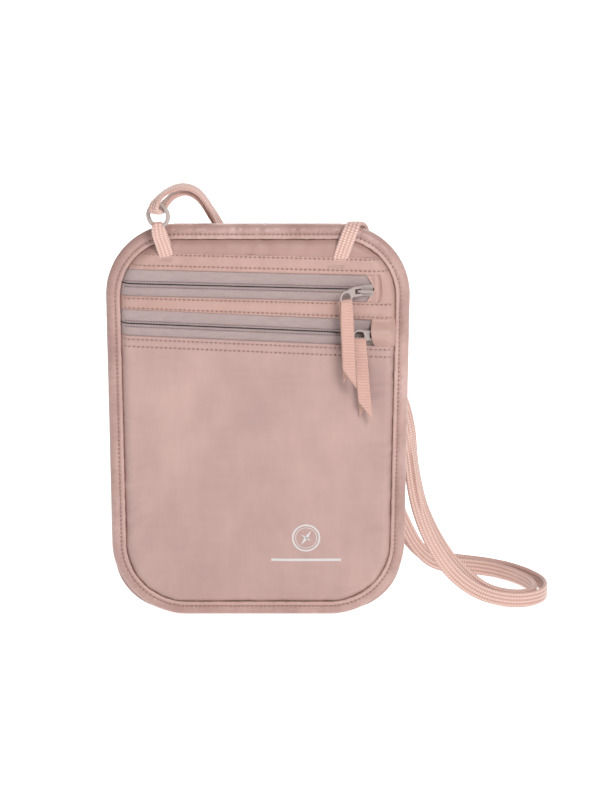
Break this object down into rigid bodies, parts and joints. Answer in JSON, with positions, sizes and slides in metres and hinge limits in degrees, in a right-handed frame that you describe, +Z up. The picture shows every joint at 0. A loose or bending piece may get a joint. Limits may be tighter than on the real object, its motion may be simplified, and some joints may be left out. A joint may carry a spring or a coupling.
{
  "type": "neck pouch wallet",
  "caption": "Flat fabric neck pouch with a bound edge, zipped pockets with ribbon pulls, and a flat braided neck cord through a strap ring.",
  "frame": {"origin": "middle of the lower edge of the binding, on the surface that the pouch stands on", "axes": "+Z up along the pouch, +Y from the zipped front to the back, +X to the right of someone facing the front"},
  "size_m": [0.2044, 0.0957, 0.2082],
  "materials": {
    "satin_binding": "folded satin tape, dusty rose, soft sheen",
    "silk_cloth": "fine woven silk, dusty rose, faint slubs and soft sheen",
    "band_cloth": "the same silk folded double, a little lighter",
    "zip_tape": "fine twill polyester tape, mauve grey",
    "zip_coil": "nylon coil, mauve grey",
    "enamelled_metal": "warm grey semi-gloss enamel",
    "grosgrain": "ribbed ribbon, salmon pink",
    "grey_plastic": "warm grey moulded plastic",
    "flat_braid": "flat knitted braid with four lengthwise ribs, salmon pink",
    "thread": "polyester sewing thread",
    "print_film": "thin pale grey print"
  },
  "bodies": {
    "pouch": {"edge_binding": "satin_binding", "back_panel": "silk_cloth", "pocket_divider": "silk_cloth", "yoke_panel": "silk_cloth", "upper_band": "band_cloth", "middle_band": "band_cloth", "front_panel": "silk_cloth", "ring_tab": "flat_braid", "ring_tab_bartack": "thread", "cord_bartack": "thread", "print_mark": "print_film", "cord_tip": "flat_braid", "neck_cord": "flat_braid", "upper_zip_tape_top": "zip_tape", "upper_zip_tape_bottom": "zip_tape", "upper_zip_coil": "zip_coil", "upper_zip_end_tab": "band_cloth", "lower_zip_tape_top": "zip_tape", "lower_zip_tape_bottom": "zip_tape", "lower_zip_coil": "zip_coil", "lower_zip_end_tab": "band_cloth"},
    "upper_slider": {"upper_slider": "enamelled_metal"},
    "upper_puller": {"upper_puller": "enamelled_metal"},
    "upper_pull_ribbon": {"upper_pull_ribbon": "grosgrain"},
    "lower_slider": {"lower_slider": "enamelled_metal"},
    "lower_puller": {"lower_puller": "enamelled_metal"},
    "lower_pull_ribbon": {"lower_pull_ribbon": "grosgrain"},
    "strap_ring": {"strap_ring": "grey_plastic"},
    "strap_slide": {"strap_slide": "grey_plastic"}
  },
  "joints": [
    {"name": "upper_zip_slide", "type": "slide", "parent": "pouch", "child": "upper_slider", "axis": [-0.9997, 0, 0.0262], "range_m": [0, 0.102]},
    {"name": "upper_puller_flip", "type": "hinge", "parent": "upper_slider", "child": "upper_puller", "pos_m": [0.04728, -0.00705, 0.15516], "axis": [0, 0, 1], "range_deg": [-5, 60]},
    {"name": "upper_ribbon_swing", "type": "hinge", "parent": "upper_puller", "child": "upper_pull_ribbon", "pos_m": [0.04001, -0.01125, 0.15076], "axis": [-0.866, -0.5, 0], "range_deg": [0, 80]},
    {"name": "lower_zip_slide", "type": "slide", "parent": "pouch", "child": "lower_slider", "axis": [-0.999, 0, 0.0436], "range_m": [0, 0.11]},
    {"name": "lower_puller_flip", "type": "hinge", "parent": "lower_slider", "child": "lower_puller", "pos_m": [0.05465, -0.00705, 0.13431], "axis": [0, 0, 1], "range_deg": [-2, 84]},
    {"name": "lower_ribbon_swing", "type": "hinge", "parent": "lower_puller", "child": "lower_pull_ribbon", "pos_m": [0.04629, -0.00793, 0.13191], "axis": [-0.9945, -0.1045, 0], "range_deg": [0, 80]},
    {"name": "strap_ring_spin", "type": "hinge", "parent": "pouch", "child": "strap_ring", "pos_m": [-0.0452, -0.0075, 0.1904], "axis": [-0.4226, -0.9063, 0], "continuous": true},
    {"name": "strap_slide_travel", "type": "slide", "parent": "pouch", "child": "strap_slide", "axis": [-0.473, -0.2628, 0.8409], "range_m": [-0.003, 0.003]}
  ]
}
